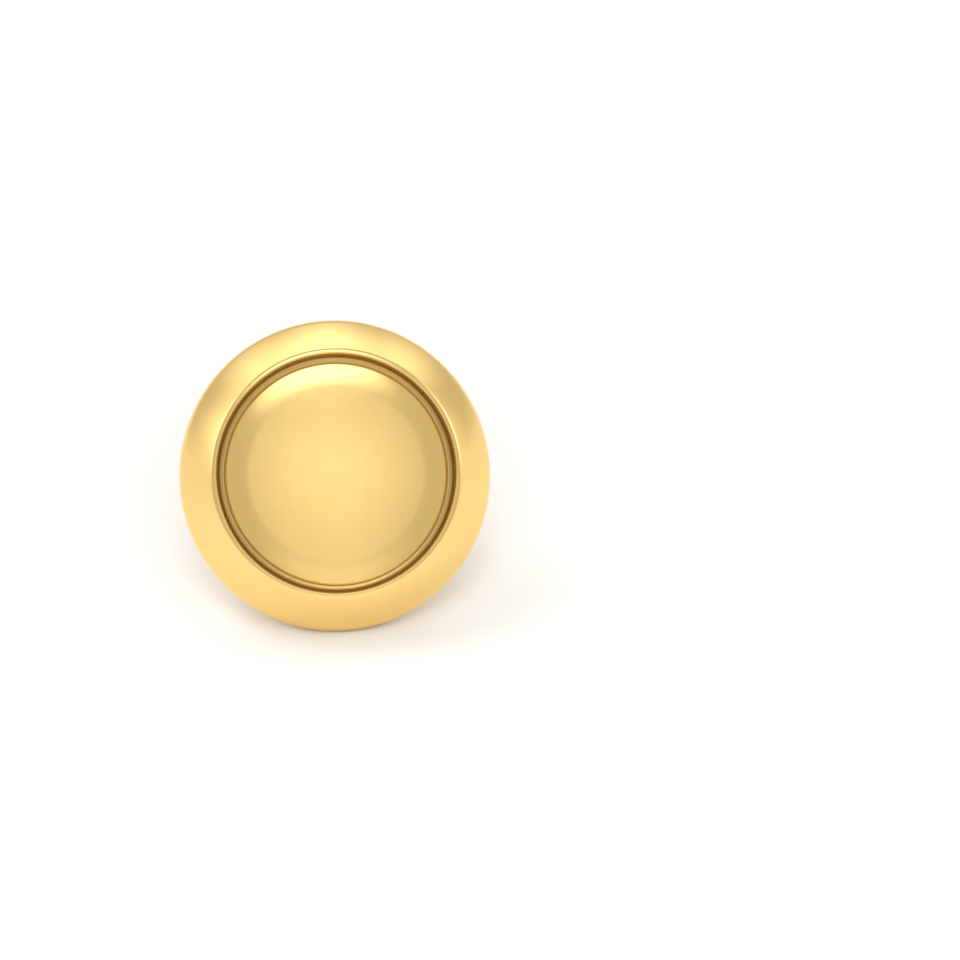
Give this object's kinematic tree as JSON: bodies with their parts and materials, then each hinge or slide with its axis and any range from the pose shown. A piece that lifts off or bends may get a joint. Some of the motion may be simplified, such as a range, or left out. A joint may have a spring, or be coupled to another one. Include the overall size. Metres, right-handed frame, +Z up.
{
  "type": "button stud earring",
  "caption": "Round hollow yellow-gold button stud earring with a domed disc in a recess, a straight ear post and a push-on butterfly back.",
  "frame": {"origin": "on the level surface that the earring rests on, below the middle of its box", "axes": "+Z up, the face looks towards -Y and upwards, the post points towards +Y and downwards, +X to the right seen from the front"},
  "size_m": [0.023, 0.0234, 0.0183],
  "materials": {
    "polished_gold": "high polish, soft hand-buffed waves",
    "satin_gold": "tumbled satin with a drawn, polished post",
    "clutch_gold": "rolled strip, bright faces and sheared edges"
  },
  "bodies": {
    "button": {"front_shell": "polished_gold", "back_plate": "satin_gold"},
    "clutch": {"butterfly_clutch": "clutch_gold"}
  },
  "joints": [
    {"name": "clutch_slide", "type": "slide", "parent": "button", "child": "clutch", "axis": [0, 0.8042, -0.5944], "range_m": [-0.007, 0.0046]}
  ]
}
